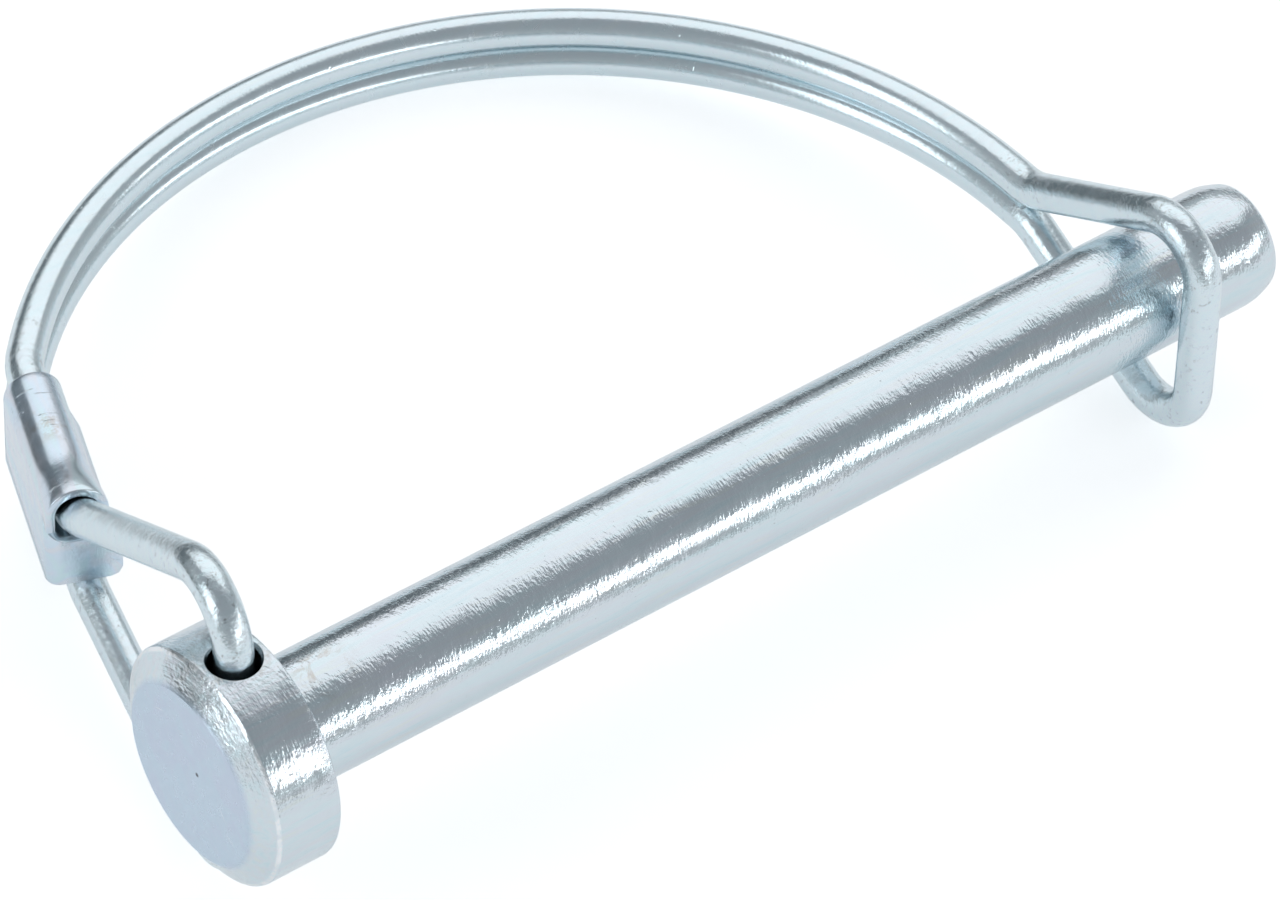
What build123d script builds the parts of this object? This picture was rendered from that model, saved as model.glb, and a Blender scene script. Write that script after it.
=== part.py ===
from build123d import *
import os
from math import asin, atan2, cos, hypot, radians, sin, sqrt, tan

# A headed shaft locking pin with a sprung wire bow, as it lies on a flat surface.
# Sizes are in millimetres. Each piece is drawn with the pin's axis on X, the
# underside of its head at X = 0, the bow on the +Y side and the cross hole along Z.
# All pieces are then turned together into the attitude in which they come to rest.

# Pin
shaft_diameter = 10.0
shaft_length = 92.5  # underside of the head to the end of the tip
tip_taper_length = 2.0
tip_face_diameter = 8.8
tip_edge_radius = 0.4
head_diameter = 19.2
head_band = 5.4  # straight part of the head's rim
head_chamfer_length = 1.4
head_face_diameter = 14.6
head_edge_radius = 0.35
cross_hole_diameter = 4.0

# Wire bow, which is one length of spring wire
wire_diameter = 3.0
strand_gap = 0.08  # between the strands where they lie side by side
strand_end_gap = 0.8  # between the two wire ends inside the cross hole
bow_radius = 42.2
bow_centre = (39.3, 14.2)
bow_start_angle = 137.0  # at the ferrule, in degrees from +X
bow_end_angle = 0.5  # at the loop
bow_straight = 2.4  # past each end of the arc, before the next bend
ferrule_front_bend = (0.9, 25.9)
lower_exit_bend = (1.9, 25.6)
upper_knee_height = 17.6
lower_knee_height = 14.6
knee_radius = 4.5
strand_bend_radius = 6.0

# Loop at the free end of the bow, which hooks round the shaft
loop_position = 82.2  # underside of the head to the middle of the loop's crossing
loop_clearance = 0.62  # between the loop and the shaft
loop_bend_radius = 5.0
loop_corner_radius = 4.0

# Ferrule, folded from sheet round both strands
sheet_thickness = 0.7
crimp_clearance = 0.05
ferrule_length = 14.2
ferrule_overhang = 0.8  # past the upper strand's bend
ferrule_depth = 4.9  # below the middle of the bow
ferrule_foot_width = 5.8
spread_top = 0.6  # heights between which the inner wall leans outward
spread_bottom = -2.6
tab_top = -0.5  # upper edge of the tab folded across the front
tab_gap = 0.15  # between the tab and the end of the inner wall
tab_corner_radius = 1.0
fold_radius = 0.4  # inside the fold between the outer wall and the tab
parting_distance = 10.0  # from the front bend back to where the strands part
exit_clearance = 0.25  # between the tab and the lower strand

# Sizes worked out from the values above
shaft_radius = shaft_diameter / 2
head_radius = head_diameter / 2
head_length = head_band + head_chamfer_length
wire_radius = wire_diameter / 2
strand_height = wire_radius + strand_gap / 2
pivot = (-head_band / 2, 0)
loop_depth = shaft_radius + loop_clearance + wire_radius
lower_exit_height = -(ferrule_depth + wire_radius + exit_clearance)
fold_bore = wire_radius + crimp_clearance
fold_radius_outside = fold_bore + sheet_thickness
fold_outside = fold_radius + sheet_thickness
cut_past = 1.0  # of a cutting body past the faces that it cuts
support_samples = 60  # points taken along each piece of the wire's centre line


def at_height(point, height):
    return Vector(point[0], point[1], height)


def on_bow(angle):
    x = bow_centre[0] + bow_radius * cos(radians(angle))
    y = bow_centre[1] + bow_radius * sin(radians(angle))
    return (x, y)


def past_bow(angle, distance):
    """Point on the straight wire beyond one end of the arc."""
    x, y = on_bow(angle)
    return (x - distance * sin(radians(angle)), y + distance * cos(radians(angle)))


bow_start = on_bow(bow_start_angle)
bow_middle = on_bow((bow_start_angle + bow_end_angle) / 2)
bow_end = on_bow(bow_end_angle)
ferrule_rear_bend = past_bow(bow_start_angle, bow_straight)
loop_bend = past_bow(bow_end_angle, -bow_straight)

# The legs of the loop pass the shaft as closely as its crossing does
leg_reach = hypot(strand_height, loop_bend[1])
leg_angle = atan2(-strand_height, -loop_bend[1]) - asin(loop_depth / leg_reach)
leg_slope = tan(leg_angle)
loop_half_height = strand_height - (loop_bend[1] + loop_depth) * leg_slope


# Pin: one turned piece with a hole across its head
with BuildPart() as pin:
    with BuildSketch(Plane.XZ):
        with BuildLine():
            Polyline(
                (-head_length, 0),
                (-head_length, head_face_diameter / 2),
                (-head_band, head_radius),
                (0, head_radius),
                (0, shaft_radius),
                (shaft_length - tip_taper_length, shaft_radius),
                (shaft_length, tip_face_diameter / 2),
                (shaft_length, 0),
                close=True,
            )
        outline = make_face().vertices()
        rim = outline.filter_by_position(Axis.Y, shaft_radius + cut_past, head_radius)
        fillet(rim, head_edge_radius)
        tip_edge = outline.sort_by(Axis.X)[-2:].sort_by(Axis.Y)[-1]
        fillet(tip_edge, tip_edge_radius)
    revolve(axis=Axis.X)
    with Locations((pivot[0], pivot[1], 0)):
        Cylinder(cross_hole_diameter / 2, head_diameter + cut_past, mode=Mode.SUBTRACT)
pin.part.label = "pin"


# Wire bow: both ends drop into the cross hole, and the loop joins the strands
parting = Vector(*ferrule_front_bend) - Vector(*ferrule_rear_bend)
parting = Vector(*ferrule_front_bend) - parting.normalized() * parting_distance
with BuildPart() as wire_bow:
    with BuildLine() as centreline:
        FilletPolyline(
            at_height(pivot, strand_end_gap / 2),
            at_height(pivot, upper_knee_height),
            at_height(ferrule_front_bend, strand_height),
            at_height(ferrule_rear_bend, strand_height),
            at_height(bow_start, strand_height),
            radius=[knee_radius, strand_bend_radius, strand_bend_radius],
        )
        ThreePointArc(
            at_height(bow_start, strand_height),
            at_height(bow_middle, strand_height),
            at_height(bow_end, strand_height),
        )
        FilletPolyline(
            at_height(bow_end, strand_height),
            at_height(loop_bend, strand_height),
            (loop_position, -loop_depth, loop_half_height),
            (loop_position, -loop_depth, -loop_half_height),
            at_height(loop_bend, -strand_height),
            at_height(bow_end, -strand_height),
            radius=[
                loop_bend_radius,
                loop_corner_radius,
                loop_corner_radius,
                loop_bend_radius,
            ],
        )
        ThreePointArc(
            at_height(bow_end, -strand_height),
            at_height(bow_middle, -strand_height),
            at_height(bow_start, -strand_height),
        )
        FilletPolyline(
            at_height(bow_start, -strand_height),
            at_height(ferrule_rear_bend, -strand_height),
            at_height(tuple(parting), -strand_height),
            at_height(lower_exit_bend, lower_exit_height),
            at_height(pivot, -lower_knee_height),
            at_height(pivot, -strand_end_gap / 2),
            radius=[
                strand_bend_radius,
                strand_bend_radius,
                strand_bend_radius,
                knee_radius,
            ],
        )
    with BuildSketch(Plane(origin=at_height(pivot, strand_end_gap / 2))):
        Circle(wire_radius)
    sweep(path=centreline.line)
wire_bow.part.label = "wire_bow"


# Ferrule: a round fold over the upper strand, two walls down past the lower one,
# and a tab across the front with the lower strand coming out beneath it
along = (Vector(*ferrule_front_bend) - Vector(*ferrule_rear_bend)).normalized()
across = Vector(0, 0, 1).cross(along)
front = Plane(
    origin=Vector(*ferrule_front_bend) + along * ferrule_overhang,
    x_dir=across,
    z_dir=along,
)

# The upper strand starts to bend inside the ferrule, which opens its mouth
leg = at_height(pivot, upper_knee_height) - at_height(ferrule_front_bend, strand_height)
turn = radians(leg.get_angle(along))
mouth_length = strand_bend_radius * tan(turn / 2) + ferrule_overhang
bend_height = sqrt(strand_bend_radius**2 - mouth_length**2)
mouth_lift = strand_bend_radius - bend_height
mouth_lift += wire_radius * (strand_bend_radius / bend_height - 1)
mouth_spread = mouth_lift / 2
mouth = front.offset(-mouth_length)


def fold_outline(radius, lift, spread, bottom):
    """Closed outline of the fold: an arch on two walls, the inner one leaning."""
    top = strand_height + lift
    side = radius + spread
    foot = ferrule_foot_width - 2 * fold_radius_outside + radius
    with BuildLine() as outline:
        ThreePointArc((-radius, top), (spread / 2, top + radius + spread / 2), (side, top))
        Polyline(
            (side, top),
            (side, spread_top),
            (foot, spread_bottom),
            (foot, bottom),
            (-radius, bottom),
            (-radius, top),
        )
    make_face(outline.edges())


with BuildPart() as ferrule:
    for radius, bottom, mode in (
        (fold_radius_outside, -ferrule_depth, Mode.ADD),
        (fold_bore, -ferrule_depth - cut_past, Mode.SUBTRACT),
    ):
        with BuildSketch(mouth):
            fold_outline(radius, 0, 0, bottom)
        extrude(amount=mouth_length - ferrule_length, mode=mode)
        with BuildSketch(mouth):
            fold_outline(radius, 0, 0, bottom)
        with BuildSketch(front):
            fold_outline(radius, mouth_lift, mouth_spread, bottom)
        loft(mode=mode)

    # Both walls stop short of the front, below the round part of the fold
    with BuildSketch(front):
        with Locations((0, tab_top + tab_gap)):
            Rectangle(
                2 * ferrule_foot_width,
                ferrule_depth + cut_past,
                align=(Align.CENTER, Align.MAX),
            )
    extrude(amount=-fold_outside - tab_gap, mode=Mode.SUBTRACT)

    # The outer wall goes on into the fold and the tab, as one bent strip
    with BuildSketch(Plane(front.origin - Vector(0, 0, ferrule_depth), x_dir=across)):
        with BuildLine() as strip:
            side = -fold_radius_outside
            FilletPolyline(
                (side, fold_outside + 2 * tab_gap),
                (side, 0),
                (side + ferrule_foot_width, 0),
                radius=fold_outside,
            )
            offset(amount=sheet_thickness, side=Side.LEFT)
        make_face()
    extrude(amount=ferrule_depth + tab_top)
    for index, radius in ((0, tab_corner_radius), (-1, sheet_thickness / 2)):
        corners = ferrule.edges().filter_by(Axis(front.origin, along))
        corners = corners.filter_by(lambda edge: edge.length < 2 * sheet_thickness)
        free_corners = corners.sort_by(Axis(front.origin, across))[-2:].sort_by(Axis.Z)
        fillet(free_corners[index], radius)
ferrule.part.label = "ferrule"


# Everything rests on the wire bow: on its lower knee, its loop and its round back
def lowest(points, up):
    return min(points, key=lambda point: point.dot(up))


samples = [
    edge @ (step / support_samples)
    for edge in centreline.edges()
    for step in range(support_samples + 1)
]
groups = (
    [point for point in samples if point.X < 0 and point.Z < -strand_height],
    [point for point in samples if point.X > loop_bend[0] and point.Z < 0],
    [point for point in samples if point.Y > bow_centre[1] + bow_radius / 2],
)
up = Vector(0, 0, 1)
for repeat in range(12):
    knee, loop, back = (lowest(points, up) for points in groups)
    up = (loop - knee).cross(back - knee).normalized()
forward = Vector(1, 0, 0) - up * up.X
floor = Plane(origin=knee - up * wire_radius, x_dir=forward, z_dir=up)
pieces = (pin, wire_bow, ferrule)
for piece in pieces:
    piece.part.move(floor.location.inverse())
box = Compound([piece.part for piece in pieces]).bounding_box()
middle = box.center()
os.makedirs("parts", exist_ok=True)
for piece in pieces:
    piece.part.move(Location((-middle.X, -middle.Y, 0)))
    export_step(piece.part, f"parts/{piece.part.label}.step")
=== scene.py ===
import math

import bmesh
import bpy
from mathutils import Euler, Matrix, Vector


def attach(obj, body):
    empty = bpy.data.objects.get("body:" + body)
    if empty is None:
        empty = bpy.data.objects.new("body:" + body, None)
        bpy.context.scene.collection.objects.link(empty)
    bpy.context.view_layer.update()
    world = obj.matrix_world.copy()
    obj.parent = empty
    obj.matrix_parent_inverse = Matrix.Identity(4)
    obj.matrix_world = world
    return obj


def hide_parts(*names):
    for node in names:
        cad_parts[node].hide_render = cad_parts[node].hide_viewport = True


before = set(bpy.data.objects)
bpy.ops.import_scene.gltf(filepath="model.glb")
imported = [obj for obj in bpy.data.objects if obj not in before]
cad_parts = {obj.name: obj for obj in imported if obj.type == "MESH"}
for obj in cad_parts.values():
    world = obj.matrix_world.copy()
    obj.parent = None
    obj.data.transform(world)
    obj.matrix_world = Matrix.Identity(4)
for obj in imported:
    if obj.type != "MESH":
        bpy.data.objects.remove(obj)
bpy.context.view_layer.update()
print("frame loaded")

mm = 0.001
# every piece is drawn with the pin on X, then laid down as the pin rests
restTurn = Euler((-0.164266, 0.059417, 0.0))
restPlace = Vector((-0.0426909, -0.0238963, 0.0149975))
toRest = Matrix.Translation(restPlace) @ restTurn.to_matrix().to_4x4()


def newMaterial(name):
    material = bpy.data.materials.new(name)
    material.use_nodes = True
    tree = material.node_tree
    tree.nodes.clear()
    return material, tree


def addNode(tree, kind, settings=None, **inputs):
    node = tree.nodes.new(kind)
    for key, value in (settings or {}).items():
        setattr(node, key, value)
    for key, value in inputs.items():
        setInput(tree, node, key.replace("_", " "), value)
    return node


def setInput(tree, node, key, value):
    socket = node.inputs[int(key)] if key.isdigit() else node.inputs[key]
    if isinstance(value, bpy.types.NodeSocket):
        tree.links.new(value, socket)
    else:
        socket.default_value = value


def noise(tree, vector, scale, detail=3.0, rough=0.5, warp=0.0):
    node = addNode(tree, "ShaderNodeTexNoise", None, Vector=vector, Scale=scale)
    node.inputs["Detail"].default_value = detail
    node.inputs["Roughness"].default_value = rough
    node.inputs["Distortion"].default_value = warp
    return node.outputs["Fac"]


def stretched(tree, vector, scale, turn=(0, 0, 0)):
    node = addNode(tree, "ShaderNodeMapping", None, Vector=vector)
    node.inputs["Scale"].default_value = scale
    node.inputs["Rotation"].default_value = turn
    return node.outputs["Vector"]


def spread(tree, value, low, high, toLow=0.0, toHigh=1.0):
    node = addNode(tree, "ShaderNodeMapRange", {"interpolation_type": "SMOOTHSTEP"})
    tree.links.new(value, node.inputs["Value"])
    for key, number in (
        ("From Min", low), ("From Max", high), ("To Min", toLow), ("To Max", toHigh),
    ):
        node.inputs[key].default_value = number
    return node.outputs["Result"]


def calc(tree, operation, first, second=0.0):
    node = tree.nodes.new("ShaderNodeMath")
    node.operation = operation
    for index, value in enumerate((first, second)):
        setInput(tree, node, str(index), value)
    return node.outputs[0]


def blendColours(tree, factor, first, second, how="MIX"):
    node = tree.nodes.new("ShaderNodeMix")
    node.data_type = "RGBA"
    node.blend_type = how
    for index, value in ((0, factor), (6, first), (7, second)):
        if isinstance(value, bpy.types.NodeSocket):
            tree.links.new(value, node.inputs[index])
        else:
            node.inputs[index].default_value = value
    return node.outputs[2]


def colourBands(tree, value, stops):
    stops = list(stops)
    node = tree.nodes.new("ShaderNodeValToRGB")
    tree.links.new(value, node.inputs["Fac"])
    ramp = node.color_ramp
    while len(ramp.elements) < len(stops):
        ramp.elements.new(0.5)
    for element, (place, colour) in zip(ramp.elements, stops):
        element.position = place
        element.color = (*colour, 1)
    return node.outputs["Color"]


def bump(tree, height, strength, distance, after=None):
    node = addNode(tree, "ShaderNodeBump", None, Height=height)
    node.inputs["Strength"].default_value = strength
    node.inputs["Distance"].default_value = distance
    if after is not None:
        tree.links.new(after, node.inputs["Normal"])
    return node.outputs["Normal"]


zincPlate = {
    "pale": (0.70, 0.785, 0.83),
    "teal": (0.63, 0.775, 0.81),
    "violet": (0.71, 0.725, 0.82),
    "grey": (0.56, 0.60, 0.63),
    "brown": (0.52, 0.47, 0.42),
    "smooth": 0.13,  # roughness of the brightest plate
    "dull": 0.21,  # roughness of the most worn plate
    "veils": ((0.62, 0.75, 0.80), (0.72, 0.79, 0.82), (0.74, 0.74, 0.80), (0.76, 0.77, 0.74)),
    "veil": 0.45,  # how much of the veils shows
}


def pieceSpace(tree):
    # object coordinates turned back, so that X runs along the pin, in metres
    place = tree.nodes.new("ShaderNodeTexCoord").outputs["Object"]
    node = addNode(tree, "ShaderNodeMapping", {"vector_type": "TEXTURE"}, Vector=place)
    node.inputs["Location"].default_value = restPlace
    node.inputs["Rotation"].default_value = restTurn
    return node.outputs["Vector"]


def zincMaterial(name, plate, finish):
    material, tree = newMaterial(name)
    space = pieceSpace(tree)
    broad = noise(tree, space, 55.0, 4.0, 0.55, 0.8)
    colour = colourBands(
        tree,
        broad,
        (
            (0.28, zincPlate["violet"]),
            (0.42, zincPlate["pale"]),
            (0.55, zincPlate["teal"]),
            (0.70, zincPlate["pale"]),
        ),
    )
    colour = blendColours(tree, 1.0 - plate["tint"], colour, (*zincPlate["pale"], 1))
    # faint coloured veils drawn out along the piece
    veil = noise(tree, stretched(tree, space, (110, 1500, 1500)), 1.0, 4.0, 0.65, 0.5)
    veil = colourBands(tree, veil, zip((0.34, 0.46, 0.56, 0.66), zincPlate["veils"]))
    colour = blendColours(tree, zincPlate["veil"], colour, veil)
    stain = spread(tree, noise(tree, space, 300.0, 7.0, 0.7, 1.5), 0.62, 0.85)
    stain = calc(tree, "MULTIPLY", stain, plate["stain"])
    colour = blendColours(tree, stain, colour, (*zincPlate["grey"], 1))

    # fine rubbed streaks along the pin, short crystal flecks across it, and pits
    along = noise(tree, stretched(tree, space, (70, 2600, 2600)), 1.0, 3.0, 0.6)
    flecks = noise(tree, stretched(tree, space, (3600, 1500, 1500)), 1.0, 2.0, 0.6, 0.6)
    slanted = noise(
        tree, stretched(tree, space, (2900, 1700, 1700), (0.5, 0.7, 0.4)), 1.0, 2.0, 0.6, 0.8
    )
    uneven = spread(tree, noise(tree, space, 140.0, 3.0, 0.6), 0.35, 0.65, 0.35, 1.1)
    flecks = calc(tree, "MULTIPLY", calc(tree, "ADD", flecks, slanted), uneven)
    grain = noise(tree, space, 4200.0, 3.0, 0.7)
    crystals = addNode(
        tree, "ShaderNodeTexVoronoi", {"feature": "F1"},
        Vector=stretched(tree, space, (5200, 1900, 1900), (0.3, 0.25, 0.2)), Scale=1.0,
    ).outputs["Distance"]
    drift = spread(tree, noise(tree, space, 480.0, 3.0, 0.6), 0.36, 0.62)
    crystals = calc(tree, "MULTIPLY", crystals, drift)
    pits = spread(tree, noise(tree, space, 1500.0, 2.0, 0.5), 0.72, 0.80)
    normal = bump(tree, along, plate["streaks"], 0.00003)
    normal = bump(tree, flecks, plate["flecks"], 0.00005, normal)
    normal = bump(tree, grain, 0.12, 0.00003, normal)
    normal = bump(tree, crystals, plate["crystals"], 0.000035, normal)
    normal = bump(tree, calc(tree, "SUBTRACT", 1.0, pits), 0.4, 0.00006, normal)

    wear = noise(tree, space, 900.0, 4.0, 0.6, 0.4)
    gloss = spread(tree, wear, 0.35, 0.70, zincPlate["smooth"], zincPlate["dull"])
    colour, gloss, normal = finish(tree, space, colour, gloss, normal)
    shader = addNode(
        tree, "ShaderNodeBsdfPrincipled", None, Base_Color=colour, Roughness=gloss
    )
    shader.inputs["Metallic"].default_value = 1.0
    tree.links.new(normal, shader.inputs["Normal"])
    output = tree.nodes.new("ShaderNodeOutputMaterial")
    tree.links.new(shader.outputs["BSDF"], output.inputs["Surface"])
    return material


def placed(mesh, name, body, node, material):
    mesh.normal_update()
    piece = bpy.data.objects.new(name, bpy.data.meshes.new(name))
    mesh.to_mesh(piece.data)
    mesh.free()
    piece.data.transform(toRest)
    piece.data.materials.append(material)
    bpy.context.scene.collection.objects.link(piece)
    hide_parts(node)
    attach(piece, body)
    return piece


def smoothed(piece, angle):
    for face in piece.data.polygons:
        face.use_smooth = True
    piece.data.set_sharp_from_angle(angle=math.radians(angle))


def roundedPath(corners, radii, step):
    # points along straight runs with an arc of the given radius at each corner
    points = [corners[0]]
    for before, corner, after, radius in zip(corners, corners[1:], corners[2:], radii):
        toBefore = (before - corner).normalized()
        toAfter = (after - corner).normalized()
        half = toBefore.angle(toAfter) / 2
        centre = corner + (toBefore + toAfter).normalized() * (radius / math.sin(half))
        start = corner + toBefore * (radius / math.tan(half))
        arm = start - centre
        axis = arm.cross(corner + toAfter * (radius / math.tan(half)) - centre)
        sweep = math.pi - 2 * half
        count = max(3, math.ceil(sweep * radius / step))
        for index in range(count + 1):
            turn = Matrix.Rotation(sweep * index / count, 3, axis)
            points.append(centre + turn @ arm)
    points.append(corners[-1])
    return points


pinSizes = {
    "shaft": 5.0,
    "length": 92.5,
    "tip": 4.4,
    "head": 9.6,
    "band": 5.4,
    "chamfer": 1.4,
    "face": 7.3,
    "hole": 2.0,
    "flare": 0.22,  # how far the hole's edges are broken
    "turns": 160,
    "holeSteps": 64,
    "sharp": 22,  # degrees past which an edge stays sharp
}


def buildPin(material):
    s = pinSizes
    band = s["band"]
    back = band + s["chamfer"]
    # the outline from the middle of the face to the middle of the tip, along X and off the axis
    outline = [
        (-back, 0), (-back, s["face"] - 0.25), (-back + 0.04, s["face"] - 0.02),
        (-back + 0.12, s["face"] + 0.10), (-band - 0.12, s["head"] - 0.30),
        (-band - 0.02, s["head"] - 0.14), (-band + 0.10, s["head"] - 0.04),
        (-band + 0.28, s["head"]), (-0.34, s["head"]), (-0.17, s["head"] - 0.05),
        (-0.05, s["head"] - 0.17), (0, s["head"] - 0.35), (0, s["shaft"] + 0.16),
        (0.05, s["shaft"] + 0.05), (0.16, s["shaft"]),
    ]
    outline += [(x, s["shaft"]) for x in range(4, 88, 4)]
    end = s["length"]
    outline += [
        (end - 3.2, s["shaft"]), (end - 2.7, s["shaft"] - 0.008),
        (end - 2.2, s["shaft"] - 0.04), (end - 1.7, s["shaft"] - 0.11),
        (end - 1.2, s["tip"] + 0.35), (end - 0.8, s["tip"] + 0.23), (end - 0.42, s["tip"] + 0.10),
        (end - 0.22, s["tip"] - 0.01), (end - 0.09, s["tip"] - 0.13),
        (end - 0.02, s["tip"] - 0.28), (end, s["tip"] - 0.45), (end, 0),
    ]
    mesh = bmesh.new()
    points = [mesh.verts.new(Vector((x, 0, r)) * mm) for x, r in outline]
    edges = [mesh.edges.new(pair) for pair in zip(points, points[1:])]
    bmesh.ops.spin(
        mesh, geom=points + edges, cent=(0, 0, 0), axis=(1, 0, 0),
        angle=math.tau, steps=s["turns"], use_merge=True,
    )
    bmesh.ops.remove_doubles(mesh, verts=mesh.verts, dist=1e-7)
    bmesh.ops.recalc_face_normals(mesh, faces=mesh.faces)
    piece = placed(mesh, "pinPiece", "pin", "pin", material)

    # the cross hole, with its two edges broken
    cutter = bmesh.new()
    flare = s["hole"] + s["flare"]
    profile = [
        (0, 12), (flare + 0.5, 12), (flare, s["head"] + 0.02), (s["hole"], s["head"] - 0.34),
        (s["hole"], -s["head"] + 0.34), (flare, -s["head"] - 0.02), (flare + 0.5, -12), (0, -12),
    ]
    points = [cutter.verts.new(Vector((r - band / 2, 0, z)) * mm) for r, z in profile]
    edges = [cutter.edges.new(pair) for pair in zip(points, points[1:])]
    bmesh.ops.spin(
        cutter, geom=points + edges, cent=(-band / 2 * mm, 0, 0), axis=(0, 0, 1),
        angle=math.tau, steps=s["holeSteps"], use_merge=True,
    )
    bmesh.ops.remove_doubles(cutter, verts=cutter.verts, dist=1e-7)
    bmesh.ops.recalc_face_normals(cutter, faces=cutter.faces)
    tool = bpy.data.objects.new("holeCutter", bpy.data.meshes.new("holeCutter"))
    cutter.to_mesh(tool.data)
    cutter.free()
    tool.data.transform(toRest)
    bpy.context.scene.collection.objects.link(tool)
    cut = piece.modifiers.new("crossHole", "BOOLEAN")
    cut.operation = "DIFFERENCE"
    cut.solver = "EXACT"
    cut.object = tool
    bpy.context.view_layer.update()
    evaluated = piece.evaluated_get(bpy.context.evaluated_depsgraph_get())
    finished = bpy.data.meshes.new_from_object(evaluated)
    piece.modifiers.clear()
    piece.data = finished
    bpy.data.objects.remove(tool)
    smoothed(piece, s["sharp"])
    even = piece.modifiers.new("evenNormals", "WEIGHTED_NORMAL")
    even.keep_sharp = True
    even.weight = 100
    return piece


wireSizes = {
    "wire": 1.5,
    "strand": 1.54,  # height of each strand's middle off the bow's middle plane
    "centre": (39.3, 14.2),
    "radius": 42.2,
    "start": 137.0,  # degrees round the bow's centre
    "end": 0.5,
    "straight": 2.4,  # from each end of the bow to the next bend
    "frontBend": (0.9, 25.9),
    "lowerExit": (1.9, 25.6, -6.65),
    "pivot": -2.7,
    "upperKnee": 17.6,
    "lowerKnee": 14.6,
    "kneeRadius": 4.5,
    "bendRadius": 6.0,
    "loopAt": 82.2,
    "loopDepth": 7.12,
    "loopHeight": 11.9137,
    "loopBend": 5.0,
    "loopCorner": 4.0,
    "parting": 10.0,
    "step": 0.35,  # between rings on an arc
    "spacing": 1.2,  # between rings on a straight run
    "closest": 0.05,
    "sides": 28,
    "endGap": 0.4,  # from the pin's middle to each end of the wire
    "sharp": 50,
    "softTurn": 0.05,  # radians a mm at which the bend pattern starts
    "turnSpan": 0.12,
}


def wirePath():
    s = wireSizes
    high = s["strand"]
    cx, cy = s["centre"]

    def onArc(angle, past, z):
        a = math.radians(angle)
        x = cx + s["radius"] * math.cos(a) - past * math.sin(a)
        y = cy + s["radius"] * math.sin(a) + past * math.cos(a)
        return Vector((x, y, z))

    def arc(z):
        count = 150
        span = s["end"] - s["start"]
        return [onArc(s["start"] + span * k / count, 0, z) for k in range(1, count)]

    front = Vector((*s["frontBend"], high))
    rear = onArc(s["start"], s["straight"], high)
    bend = onArc(s["end"], -s["straight"], high)
    loopY = -s["loopDepth"]
    parting = front + (rear - front).normalized() * s["parting"]
    parting.z = -high
    upper = roundedPath(
        [
            Vector((s["pivot"], 0, s["endGap"])), Vector((s["pivot"], 0, s["upperKnee"])),
            front, rear, onArc(s["start"], 0, high),
        ],
        [s["kneeRadius"], s["bendRadius"], s["bendRadius"]],
        s["step"],
    )
    loop = roundedPath(
        [
            onArc(s["end"], 0, high), bend,
            Vector((s["loopAt"], loopY, s["loopHeight"])),
            Vector((s["loopAt"], loopY, -s["loopHeight"])),
            bend * Vector((1, 1, -1)), onArc(s["end"], 0, -high),
        ],
        [s["loopBend"], s["loopCorner"], s["loopCorner"], s["loopBend"]],
        s["step"],
    )
    lower = roundedPath(
        [
            onArc(s["start"], 0, -high), rear * Vector((1, 1, -1)), parting,
            Vector(s["lowerExit"]), Vector((s["pivot"], 0, -s["lowerKnee"])),
            Vector((s["pivot"], 0, -s["endGap"])),
        ],
        [s["bendRadius"], s["bendRadius"], s["bendRadius"], s["kneeRadius"]],
        s["step"],
    )
    return upper + arc(high) + loop + arc(-high)[::-1] + lower


def buildWire(material):
    s = wireSizes
    path = []
    for point in wirePath():
        if not path or (point - path[-1]).length > s["closest"]:
            path.append(point)
    # straight runs get rings of their own, so that the bend pattern fades evenly
    even = [path[0]]
    for point in path[1:]:
        gap = point - even[-1]
        parts = max(1, round(gap.length / s["spacing"]))
        start = even[-1].copy()
        even += [start + gap * (k / parts) for k in range(1, parts + 1)]
    mesh = bmesh.new()
    bend = mesh.verts.layers.float.new("bend")
    directions = []
    for index in range(len(even)):
        before = even[max(index - 1, 0)]
        after = even[min(index + 1, len(even) - 1)]
        directions.append((after - before).normalized())
    sideways = directions[0].orthogonal().normalized()
    rings = []
    for index, (point, direction) in enumerate(zip(even, directions)):
        if index:
            turn = directions[index - 1].rotation_difference(direction)
            sideways = turn @ sideways
        near = range(max(index - 2, 1), min(index + 3, len(even) - 1))
        bending = max(
            (directions[k].angle(directions[k - 1], 0)
             / max((even[k] - even[k - 1]).length, 0.1) for k in near),
            default=0,
        )
        facing = Matrix((sideways, direction.cross(sideways), direction)).transposed()
        ring = bmesh.ops.create_circle(
            mesh, cap_ends=index in (0, len(even) - 1),
            radius=s["wire"] * mm, segments=s["sides"],
            matrix=Matrix.Translation(point * mm) @ facing.to_4x4(),
        )["verts"]
        for vertex in ring:
            vertex[bend] = min(max((bending - s["softTurn"]) / s["turnSpan"], 0.0), 1.0)
        rings.append(ring)
    levels = [ring[0][bend] for ring in rings]
    for index, ring in enumerate(rings):
        around = levels[max(index - 4, 0):index + 5]
        for vertex in ring:
            vertex[bend] = sum(around) / len(around)
    loops = [list(dict.fromkeys(e for v in ring for e in v.link_edges)) for ring in rings]
    for first, second in zip(loops, loops[1:]):
        bmesh.ops.bridge_loops(mesh, edges=first + second)
    bmesh.ops.recalc_face_normals(mesh, faces=mesh.faces)
    piece = placed(mesh, "wireBowPiece", "bow", "wire_bow", material)
    smoothed(piece, s["sharp"])
    return piece


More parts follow.
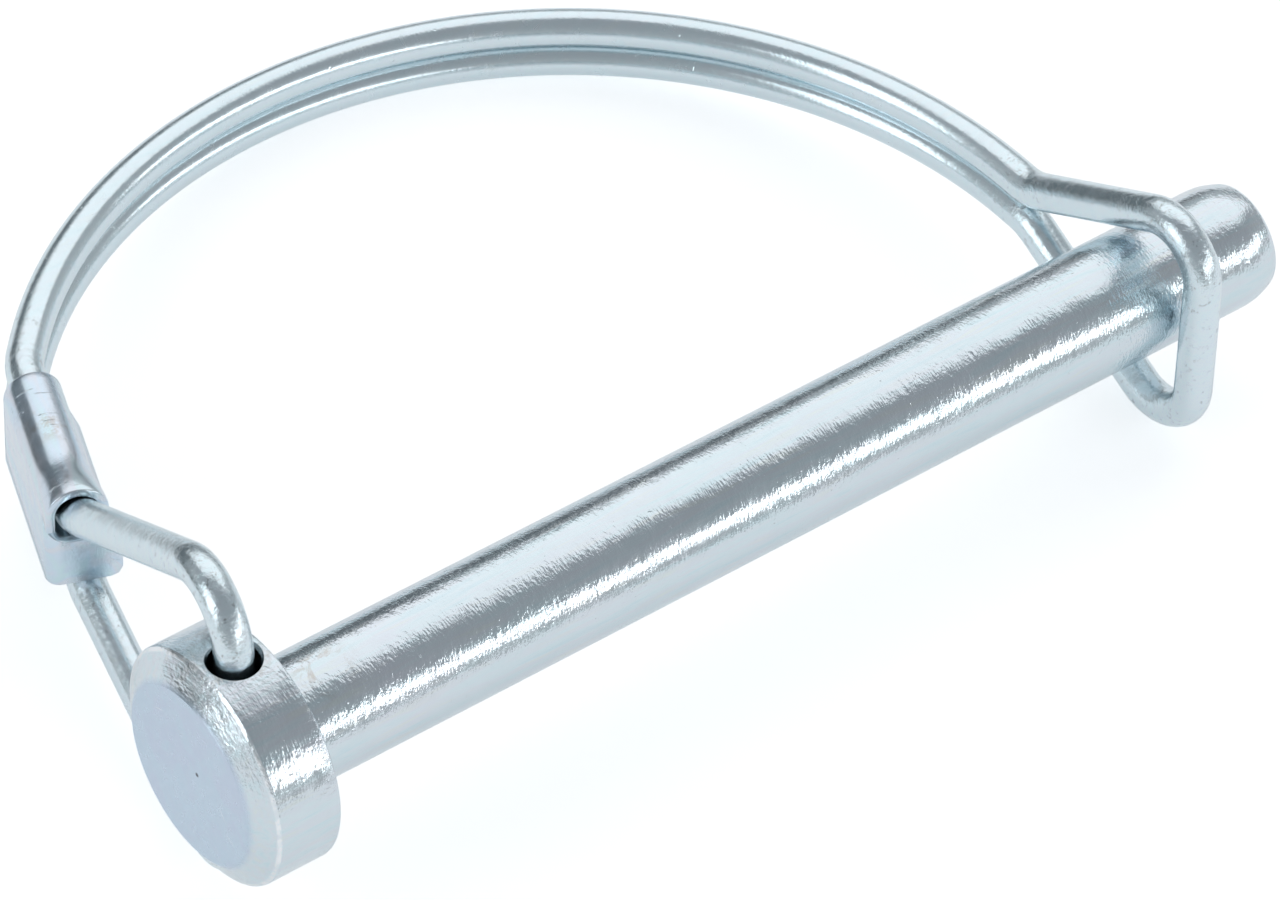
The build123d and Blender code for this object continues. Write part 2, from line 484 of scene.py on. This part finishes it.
ferruleSizes = {
    "sheet": 0.7,
    "bore": 1.55,
    "strand": 1.54,
    "front": 0.8,
    "rear": -13.4,
    "depth": 4.9,
    "foot": 5.8,
    "spreadTop": 0.6,
    "spreadBottom": -2.6,
    "tabTop": -0.5,
    "wallTop": 1.0,  # height at which the outer wall starts to turn into the tab
    "wallRows": (-3.4, -2.2, -1.2),
    "wallGap": 0.45,  # how far short of the tab the walls stop
    "archSteps": 24,
    "rearRows": 12,
    "mouthRows": 8,
    "foldSteps": 7,
    "edge": 0.12,  # how far the sheet's edges are broken
    "sharp": 60,
    "tabSteps": (0.06, 0.08, 0.10, 0.14, 0.22, 0.20, 0.12, 0.08),  # shares of the tab
    "tabCorner": 1.0,
    "dip": 1.95,  # radius of the tab's upper edge below the wire
    "lift": 0.65,
    "widen": 0.35,
    "mouth": 5.2,
    "fold": 0.75,  # middle of the sheet at the tab's fold
    "frontBend": (0.9, 25.9, 0.0),
    "rearBend": (6.8, 41.2251, 0.0),
}


def drawnOut(mesh, edges):
    # a new strip of faces from the edges, whose far side is given back to be moved
    grown = bmesh.ops.extrude_edge_only(mesh, edges=edges)["geom"]
    verts = [g for g in grown if isinstance(g, bmesh.types.BMVert)]
    far = set(verts)
    edges = [g for g in grown if isinstance(g, bmesh.types.BMEdge) and far.issuperset(g.verts)]
    return verts, edges


def buildFerrule(material):
    s = ferruleSizes
    half = s["sheet"] / 2
    r = s["bore"] + half
    foot = s["foot"] - 2 * (s["bore"] + s["sheet"]) + r
    edge = -s["depth"]

    def row(y):
        # points round the fold at one station, from the outer wall's foot
        t = min(max((y - s["front"] + s["mouth"]) / s["mouth"], 0), 1)
        t = t * t * (3 - 2 * t)
        top = s["strand"] + s["lift"] * t
        wide = s["widen"] * t
        points = [(-r, z) for z in (edge, *s["wallRows"], s["wallTop"])]
        for k in range(s["archSteps"] + 1):
            a = math.pi * (1 - k / s["archSteps"])
            x = (r + wide / 2) * math.cos(a) + wide / 2
            points.append((x, top + (r + wide / 2) * math.sin(a)))
        points += [(r + wide * 0.5, s["spreadTop"]), (r + (foot - r) * 0.5, -1.0)]
        points += [(foot, s["spreadBottom"]), (foot, edge)]
        return points

    mesh = bmesh.new()
    straightRun = s["front"] - s["mouth"] - s["rear"]
    rows = s["rearRows"]
    stations = [s["rear"] + straightRun * k / rows for k in range(rows + 1)]
    rows = s["mouthRows"]
    stations += [s["front"] - s["mouth"] * (1 - k / rows) for k in range(1, rows + 1)]
    # the section at the rear is drawn forward, station by station
    place = mesh.verts.layers.int.new("place")
    section = [mesh.verts.new(Vector((x, -s["rear"], z)) * mm) for x, z in row(s["rear"])]
    for index, vertex in enumerate(section):
        vertex[place] = index
    edges = [mesh.edges.new(pair) for pair in zip(section, section[1:])]
    for y in stations[1:]:
        verts, edges = drawnOut(mesh, edges)
        outline = row(y)
        for vertex in verts:
            x, z = outline[vertex[place]]
            vertex.co = Vector((x, -y, z)) * mm
    mesh.verts.layers.int.remove(place)
    # the wall below the arch stops short of the front, and the outer one turns into the tab
    doomed = []
    for face in mesh.faces:
        middle = face.calc_center_median() / mm
        if -middle.y > s["front"] - s["sheet"] - s["wallGap"] and middle.z < s["wallTop"]:
            doomed.append(face)
    bmesh.ops.delete(mesh, geom=doomed, context="FACES")
    reach = max(-v.co.y / mm for v in mesh.verts if v.co.z / mm < -3 and v.co.x < 0)
    edges = [
        e for e in mesh.edges
        if all(abs(-v.co.y / mm - reach) < 1e-3 and v.co.x < 0 for v in e.verts)
        and all(v.co.z / mm < s["wallTop"] + 1e-3 for v in e.verts)
    ]
    fold = s["fold"]
    straight = s["front"] - half - fold - reach
    verts, edges = drawnOut(mesh, edges)
    bmesh.ops.translate(mesh, verts=verts, vec=(0, -straight * mm, 0))
    hinge = ((-r + fold) * mm, -(s["front"] - half - fold) * mm, 0)
    turned = bmesh.ops.spin(
        mesh, geom=edges + verts, cent=hinge, axis=(0, 0, 1),
        angle=math.pi / 2, steps=s["foldSteps"], use_merge=False,
    )["geom_last"]
    edges = [g for g in turned if isinstance(g, bmesh.types.BMEdge)]
    width = s["foot"] - (s["bore"] + s["sheet"]) - (-r + fold)
    for share in s["tabSteps"]:
        verts, edges = drawnOut(mesh, edges)
        bmesh.ops.translate(mesh, verts=verts, vec=(width * share * mm, 0, 0))
    # the tab's upper edge dips round the wire, and its free corners are round
    frontY = -(s["front"] - half - fold) * mm
    corner = s["tabCorner"]
    for vertex in mesh.verts:
        if vertex.co.y > frontY + 1e-7 or vertex.co.z > s["wallTop"] * mm + 1e-7:
            continue
        w = vertex.co.x / mm
        if vertex.co.z > (s["wallTop"] - 0.01) * mm:
            inner = max(w, -s["dip"])
            dip = math.sqrt(max(s["dip"] ** 2 - inner ** 2, 0)) if w < 0 else s["dip"]
            vertex.co.z = max(s["wallTop"] - dip * 0.80, s["tabTop"]) * mm
        low = vertex.co.z < (edge + 0.01) * mm
        reach = max(w - (s["foot"] - s["bore"] - s["sheet"] - corner), 0)
        if reach > 0:
            lift = corner - math.sqrt(max(corner ** 2 - min(reach, corner) ** 2, 0))
            if low:
                vertex.co.z += lift * 0.9 * mm
            elif vertex.co.z > (s["tabTop"] - 0.01) * mm:
                vertex.co.z -= lift * 0.5 * mm
    bmesh.ops.recalc_face_normals(mesh, faces=mesh.faces)
    rearward = (Vector(s["rearBend"]) - Vector(s["frontBend"])).normalized()
    inward = rearward.cross(Vector((0, 0, 1)))
    turn = Matrix((inward, rearward, (0, 0, 1))).transposed().to_4x4()
    bmesh.ops.transform(
        mesh, matrix=Matrix.Translation(Vector(s["frontBend"]) * mm) @ turn, verts=mesh.verts
    )
    piece = placed(mesh, "ferrulePiece", "bow", "ferrule", material)
    thick = piece.modifiers.new("sheet", "SOLIDIFY")
    thick.thickness = s["sheet"] * mm
    thick.offset = 0.0
    thick.use_even_offset = True
    broken = piece.modifiers.new("brokenEdges", "BEVEL")
    broken.width = s["edge"] * mm
    broken.segments = 2
    broken.limit_method = "ANGLE"
    broken.angle_limit = math.radians(50)
    smoothed(piece, s["sharp"])
    return piece


def nearPoint(tree, space, point, inner, outer):
    node = addNode(tree, "ShaderNodeVectorMath", {"operation": "DISTANCE"})
    tree.links.new(space, node.inputs[0])
    node.inputs[1].default_value = Vector(point) * mm
    return spread(tree, node.outputs["Value"], inner * mm, outer * mm, 1.0, 0.0)


def band(tree, value, middle, half, soft):
    # 1 within half of the middle, fading to 0 over soft, all in mm
    away = calc(tree, "ABSOLUTE", calc(tree, "SUBTRACT", value, middle * mm))
    return spread(tree, away, half * mm, (half + soft) * mm, 1.0, 0.0)


pinPlate = {
    "tint": 0.5,
    "stain": 0.35,
    "streaks": 0.22,
    "flecks": 0.62,
    "crystals": 0.55,
    "face": (0.55, 0.665, 0.79),
    "cloud": (0.60, 0.65, 0.78),
    "edge": (0.93, 0.95, 0.97),
    "satin": 0.14,  # roughness that the face has more than the rest
    "pit": (-6.8, -1.06, 0.95),
    "pitColour": (0.05, 0.05, 0.06),
    "scratch": (0.92, 0.94, 0.96),
    "scratches": ((-5.1, -2.4, 0.5), (-4.2, -0.6, 0.9), (3.6, 3.9, -0.4)),  # place and turn
    "smudge": (4.6, -0.6, 4.9),
}


def pinFinish(tree, space, colour, gloss, normal):
    lines = addNode(tree, "ShaderNodeSeparateXYZ", None, Vector=space).outputs
    flat = addNode(tree, "ShaderNodeCombineXYZ", None, Y=lines["Y"], Z=lines["Z"])
    length = addNode(tree, "ShaderNodeVectorMath", {"operation": "LENGTH"})
    tree.links.new(flat.outputs["Vector"], length.inputs[0])
    fromAxis = length.outputs["Value"]
    onHead = spread(tree, lines["X"], -0.0002, 0.0001, 1.0, 0.0)
    onFace = spread(tree, lines["X"], -0.00680, -0.00640, 1.0, 0.0)
    onRim = calc(tree, "SUBTRACT", onHead, onFace)

    # the face is plain satin, without the shaft's crystals
    smooth = addNode(tree, "ShaderNodeMix", {"data_type": "VECTOR"})
    tree.links.new(calc(tree, "MULTIPLY", onFace, 0.72), smooth.inputs[0])
    tree.links.new(normal, smooth.inputs[4])
    tree.links.new(tree.nodes.new("ShaderNodeNewGeometry").outputs["Normal"], smooth.inputs[5])
    normal = smooth.outputs[1]

    # turning marks round the rim and the chamfer
    turned = addNode(tree, "ShaderNodeCombineXYZ", None, X=lines["X"], Y=fromAxis)
    marks = noise(tree, turned.outputs["Vector"], 5200.0, 3.0, 0.7)
    broken = spread(tree, noise(tree, space, 420.0, 3.0, 0.6), 0.40, 0.62, 0.2, 1.0)
    marks = calc(tree, "MULTIPLY", calc(tree, "MULTIPLY", marks, broken), onRim)
    normal = bump(tree, marks, 0.8, 0.00005, normal)

    # rough plate round the hole and in the corner under the head
    hole = nearPoint(tree, space, (-2.7, 0, 9.4), 2.1, 4.6)
    corner = calc(tree, "MULTIPLY", band(tree, lines["X"], 0.3, 0.4, 1.6), 0.8)
    rough = calc(tree, "MAXIMUM", hole, corner)
    coarse = noise(tree, space, 1900.0, 4.0, 0.7, 0.5)
    normal = bump(tree, calc(tree, "MULTIPLY", coarse, rough), 0.6, 0.00012, normal)
    smudge = spread(tree, noise(tree, space, 520.0, 5.0, 0.7, 1.0), 0.46, 0.66)
    near = nearPoint(tree, space, pinPlate["smudge"], 0.8, 3.4)
    near = calc(tree, "MAXIMUM", near, calc(tree, "MULTIPLY", hole, 0.6))
    smudge = calc(tree, "MULTIPLY", calc(tree, "MULTIPLY", smudge, near), 0.70)
    colour = blendColours(tree, smudge, colour, (*zincPlate["brown"], 1))

    # the face is pale blue, with a pit and faint scratches, and the edge between chamfer and rim
    # carries a painted highlight
    tone = calc(tree, "MULTIPLY", onFace, 0.75)
    colour = blendColours(tree, tone, colour, (*pinPlate["face"], 1))
    cloud = spread(tree, noise(tree, space, 260.0, 3.0, 0.6, 1.0), 0.42, 0.62)
    cloud = calc(tree, "MULTIPLY", calc(tree, "MULTIPLY", cloud, onFace), 0.5)
    colour = blendColours(tree, cloud, colour, (*pinPlate["cloud"], 1))
    pit = nearPoint(tree, space, pinPlate["pit"], 0.10, 0.24)
    pit = calc(tree, "MULTIPLY", pit, 0.9)
    colour = blendColours(tree, pit, colour, (*pinPlate["pitColour"], 1))
    for y, z, turn in pinPlate["scratches"]:
        centred = addNode(tree, "ShaderNodeMapping", {"vector_type": "TEXTURE"}, Vector=space)
        centred.inputs["Location"].default_value = Vector((pinPlate["pit"][0], y, z)) * mm
        centred.inputs["Rotation"].default_value = (turn, 0, 0)
        centred.inputs["Scale"].default_value = (2.0, 1.0, 0.07)
        length = addNode(tree, "ShaderNodeVectorMath", {"operation": "LENGTH"})
        tree.links.new(centred.outputs["Vector"], length.inputs[0])
        scratch = spread(tree, length.outputs["Value"], 0.0003, 0.0009, 0.35, 0.0)
        colour = blendColours(tree, scratch, colour, (*pinPlate["scratch"], 1))
    # painted highlight: a near-white line along the edge between chamfer and rim, broken up by
    # noise
    edge = calc(tree, "MULTIPLY", band(tree, lines["X"], -5.42, 0.05, 0.12), onHead)
    nick = spread(tree, noise(tree, space, 900.0, 3.0, 0.7), 0.40, 0.60, 0.25, 1.0)
    edge = calc(tree, "MULTIPLY", edge, nick)
    colour = blendColours(tree, edge, colour, (*pinPlate["edge"], 1))
    gloss = calc(tree, "ADD", gloss, calc(tree, "MULTIPLY", onFace, pinPlate["satin"]))
    return colour, gloss, normal


wirePlate = {
    "tint": 0.5,
    "stain": 0.21,
    "streaks": 0.176,
    "flecks": 0.186,
    "crystals": 0.165,
    "pale": (0.78, 0.90, 0.94),
    "speck": (0.30, 0.31, 0.31),
    "soft": 0.07,  # roughness that the straight runs have more than the bends
}


def wireFinish(tree, space, colour, gloss, normal):
    # speckled plate where the wire was bent
    node = tree.nodes.new("ShaderNodeAttribute")
    node.attribute_name = "bend"
    bent = node.outputs["Fac"]
    coarse = noise(tree, space, 1700.0, 4.0, 0.75, 0.8)
    normal = bump(tree, calc(tree, "MULTIPLY", coarse, bent), 0.38, 0.00012, normal)
    specks = spread(tree, noise(tree, space, 1500.0, 4.0, 0.75), 0.56, 0.68)
    specks = calc(tree, "MULTIPLY", calc(tree, "MULTIPLY", specks, bent), 0.65)
    colour = blendColours(tree, 0.5, colour, (*wirePlate["pale"], 1))
    colour = blendColours(tree, specks, colour, (*wirePlate["speck"], 1))
    # the drawn runs between the bends are a little softer
    run = calc(tree, "SUBTRACT", 1.0, bent)
    gloss = calc(tree, "ADD", gloss, calc(tree, "MULTIPLY", run, wirePlate["soft"]))
    return colour, gloss, normal


sheetPlate = {
    "tint": 1.0,
    "stain": 0.35,
    "streaks": 0.132,
    "flecks": 0.0744,
    "crystals": 0.066,
    "rainbow": ((0.55, 0.74, 0.78), (0.60, 0.66, 0.82), (0.76, 0.66, 0.74), (0.66, 0.74, 0.78)),
    "pale": (0.72, 0.87, 0.93),
    "scratch": (0.90, 0.93, 0.95),
    "soft": 0.07,  # roughness that the sheet has more than the pin
    "smudge": (3.6, 33.0, 3.6),
}


def sheetFinish(tree, space, colour, gloss, normal):
    # soft rainbow bands along the sheet, crosswise scratches and a warm smudge
    turned = stretched(tree, space, (1, 1, 1), (0, 0, -1.20))
    wide = noise(tree, stretched(tree, turned, (60, 420, 420)), 1.0, 2.0, 0.5, 0.7)
    rainbow = colourBands(tree, wide, zip((0.32, 0.44, 0.54, 0.64), sheetPlate["rainbow"]))
    colour = blendColours(tree, 0.65, colour, rainbow)
    scratch = noise(tree, stretched(tree, turned, (5200, 380, 380)), 1.0, 1.0, 0.5)
    scratch = spread(tree, scratch, 0.70, 0.76)
    normal = bump(tree, scratch, 0.5, 0.00006, normal)
    scratch = calc(tree, "MULTIPLY", scratch, 0.5)
    colour = blendColours(tree, scratch, colour, (*sheetPlate["scratch"], 1))
    smudge = nearPoint(tree, space, sheetPlate["smudge"], 0.4, 2.6)
    patchy = spread(tree, noise(tree, space, 700.0, 5.0, 0.7), 0.45, 0.62)
    smudge = calc(tree, "MULTIPLY", calc(tree, "MULTIPLY", smudge, patchy), 0.6)
    colour = blendColours(tree, 0.4, colour, (*sheetPlate["pale"], 1))
    colour = blendColours(tree, smudge, colour, (*zincPlate["brown"], 1))
    gloss = calc(tree, "ADD", gloss, sheetPlate["soft"])
    return colour, gloss, normal


pinZinc = zincMaterial("zincOnPin", pinPlate, pinFinish)
wireZinc = zincMaterial("zincOnWire", wirePlate, wireFinish)
sheetZinc = zincMaterial("zincOnSheet", sheetPlate, sheetFinish)
print("materials made")

buildPin(pinZinc)
buildWire(wireZinc)
buildFerrule(sheetZinc)
print("pieces made")


studio = {
    "floor": (0.92, 0.925, 0.93),
    "floorHalf": 3.0,  # half the floor's side, in metres
    "floorLift": 0.58,  # added to what the camera sees
    "floorInPlate": 0.30,  # added to what the plate shows
    "paperEnd": 0.05,  # where the floor turns dark in the plate
    "world": 0.60,
    "cameraPlace": (-0.261052, -0.301584, 0.525506),
    "cameraTurn": (0.639123, -0.074843, -0.635130),
    "lens": 240.24,
    "lamps": (  # name, place, size, watts, colour
        ("bigSoftbox", (0.40, 0.57, 0.716), (1.6, 1.04), 3.7, (1.0, 1.0, 1.0)),
        ("sideSoftbox", (-0.9, 0.15, 0.45), (0.5, 0.7), 1.6, (0.94, 0.98, 1.0)),
        ("frontStrip", (0.42, -0.86, 0.36), (1.4, 0.20), 1.9, (1.0, 1.0, 1.0)),
    ),
}


def buildStudio():
    mesh = bmesh.new()
    bmesh.ops.create_grid(mesh, x_segments=1, y_segments=1, size=studio["floorHalf"])
    floor = bpy.data.objects.new("floor", bpy.data.meshes.new("floor"))
    mesh.to_mesh(floor.data)
    mesh.free()
    bpy.context.scene.collection.objects.link(floor)
    material, tree = newMaterial("palePaper")
    place = tree.nodes.new("ShaderNodeTexCoord").outputs["Object"]
    fibre = noise(tree, place, 900.0, 4.0, 0.6)
    low = [c * 0.99 for c in studio["floor"]]
    colour = colourBands(tree, fibre, ((0.3, low), (0.7, studio["floor"])))
    shader = addNode(tree, "ShaderNodeBsdfDiffuse", None, Color=colour)
    # the paper shows a little brighter to the camera and in the plate, and keeps its shadow
    ray = tree.nodes.new("ShaderNodeLightPath").outputs
    inPlate = calc(tree, "MAXIMUM", ray["Is Glossy Ray"], ray["Is Transmission Ray"])
    inPlate = calc(tree, "MULTIPLY", inPlate, studio["floorInPlate"])
    seen = calc(tree, "MULTIPLY", ray["Is Camera Ray"], studio["floorLift"])
    seen = calc(tree, "ADD", seen, inPlate)
    glow = addNode(tree, "ShaderNodeEmission", None, Color=colour)
    tree.links.new(seen, glow.inputs["Strength"])
    both = tree.nodes.new("ShaderNodeAddShader")
    tree.links.new(shader.outputs["BSDF"], both.inputs[0])
    tree.links.new(glow.outputs["Emission"], both.inputs[1])
    # behind the bow the paper turns dark grey in reflections only, a painted dark reflection
    # which only the plate shows
    lines = addNode(tree, "ShaderNodeSeparateXYZ", None, Vector=place).outputs
    reflectionOnlyDark = spread(tree, lines["Y"], studio["paperEnd"], studio["paperEnd"] + 0.06)
    reflectionOnlyDark = calc(tree, "MULTIPLY", reflectionOnlyDark, ray["Is Glossy Ray"])
    reflectedDarkColour = colourBands(tree, fibre, ((0.3, (0.13, 0.15, 0.16)), (0.7, (0.17, 0.19, 0.20))))
    dark = addNode(tree, "ShaderNodeBsdfDiffuse", None, Color=reflectedDarkColour)
    ends = addNode(tree, "ShaderNodeMixShader", None, Fac=reflectionOnlyDark)
    tree.links.new(both.outputs["Shader"], ends.inputs[1])
    tree.links.new(dark.outputs["BSDF"], ends.inputs[2])
    output = tree.nodes.new("ShaderNodeOutputMaterial")
    tree.links.new(ends.outputs["Shader"], output.inputs["Surface"])
    floor.data.materials.append(material)

    world = bpy.data.worlds.new("softRoom")
    bpy.context.scene.world = world
    world.use_nodes = True
    tree = world.node_tree
    tree.nodes.clear()
    way = tree.nodes.new("ShaderNodeTexCoord").outputs["Generated"]
    parts = addNode(tree, "ShaderNodeSeparateXYZ", None, Vector=way)
    room = colourBands(
        tree,
        spread(tree, parts.outputs["Z"], -0.2, 1.0),
        ((0.0, (0.82, 0.86, 0.88)), (0.35, (0.70, 0.74, 0.77)), (1.0, (0.53, 0.565, 0.60))),
    )
    # a dim strip low down behind the bow
    dim = spread(tree, parts.outputs["Y"], 0.85, 0.90)
    room = blendColours(tree, calc(tree, "MULTIPLY", dim, 0.8), room, (0.16, 0.19, 0.21, 1))
    background = addNode(tree, "ShaderNodeBackground", None, Color=room)
    background.inputs["Strength"].default_value = studio["world"]
    output = tree.nodes.new("ShaderNodeOutputWorld")
    tree.links.new(background.outputs["Background"], output.inputs["Surface"])

    for name, place, size, watts, colour in studio["lamps"]:
        lamp = bpy.data.lights.new(name, "AREA")
        lamp.shape = "RECTANGLE"
        lamp.size, lamp.size_y = size
        lamp.energy = watts
        lamp.color = colour
        box = bpy.data.objects.new(name, lamp)
        box.location = place
        box.rotation_euler = (-Vector(place)).to_track_quat("-Z", "Y").to_euler()
        bpy.context.scene.collection.objects.link(box)

    camera = bpy.data.objects.new("camera", bpy.data.cameras.new("camera"))
    camera.data.lens = studio["lens"]
    camera.data.sensor_width = 36
    camera.data.clip_start = 0.01
    camera.data.clip_end = 20
    camera.location = studio["cameraPlace"]
    camera.rotation_euler = studio["cameraTurn"]
    bpy.context.scene.collection.objects.link(camera)
    bpy.context.scene.camera = camera


buildStudio()
bpy.context.scene.view_settings.view_transform = "Standard"
print("studio made")
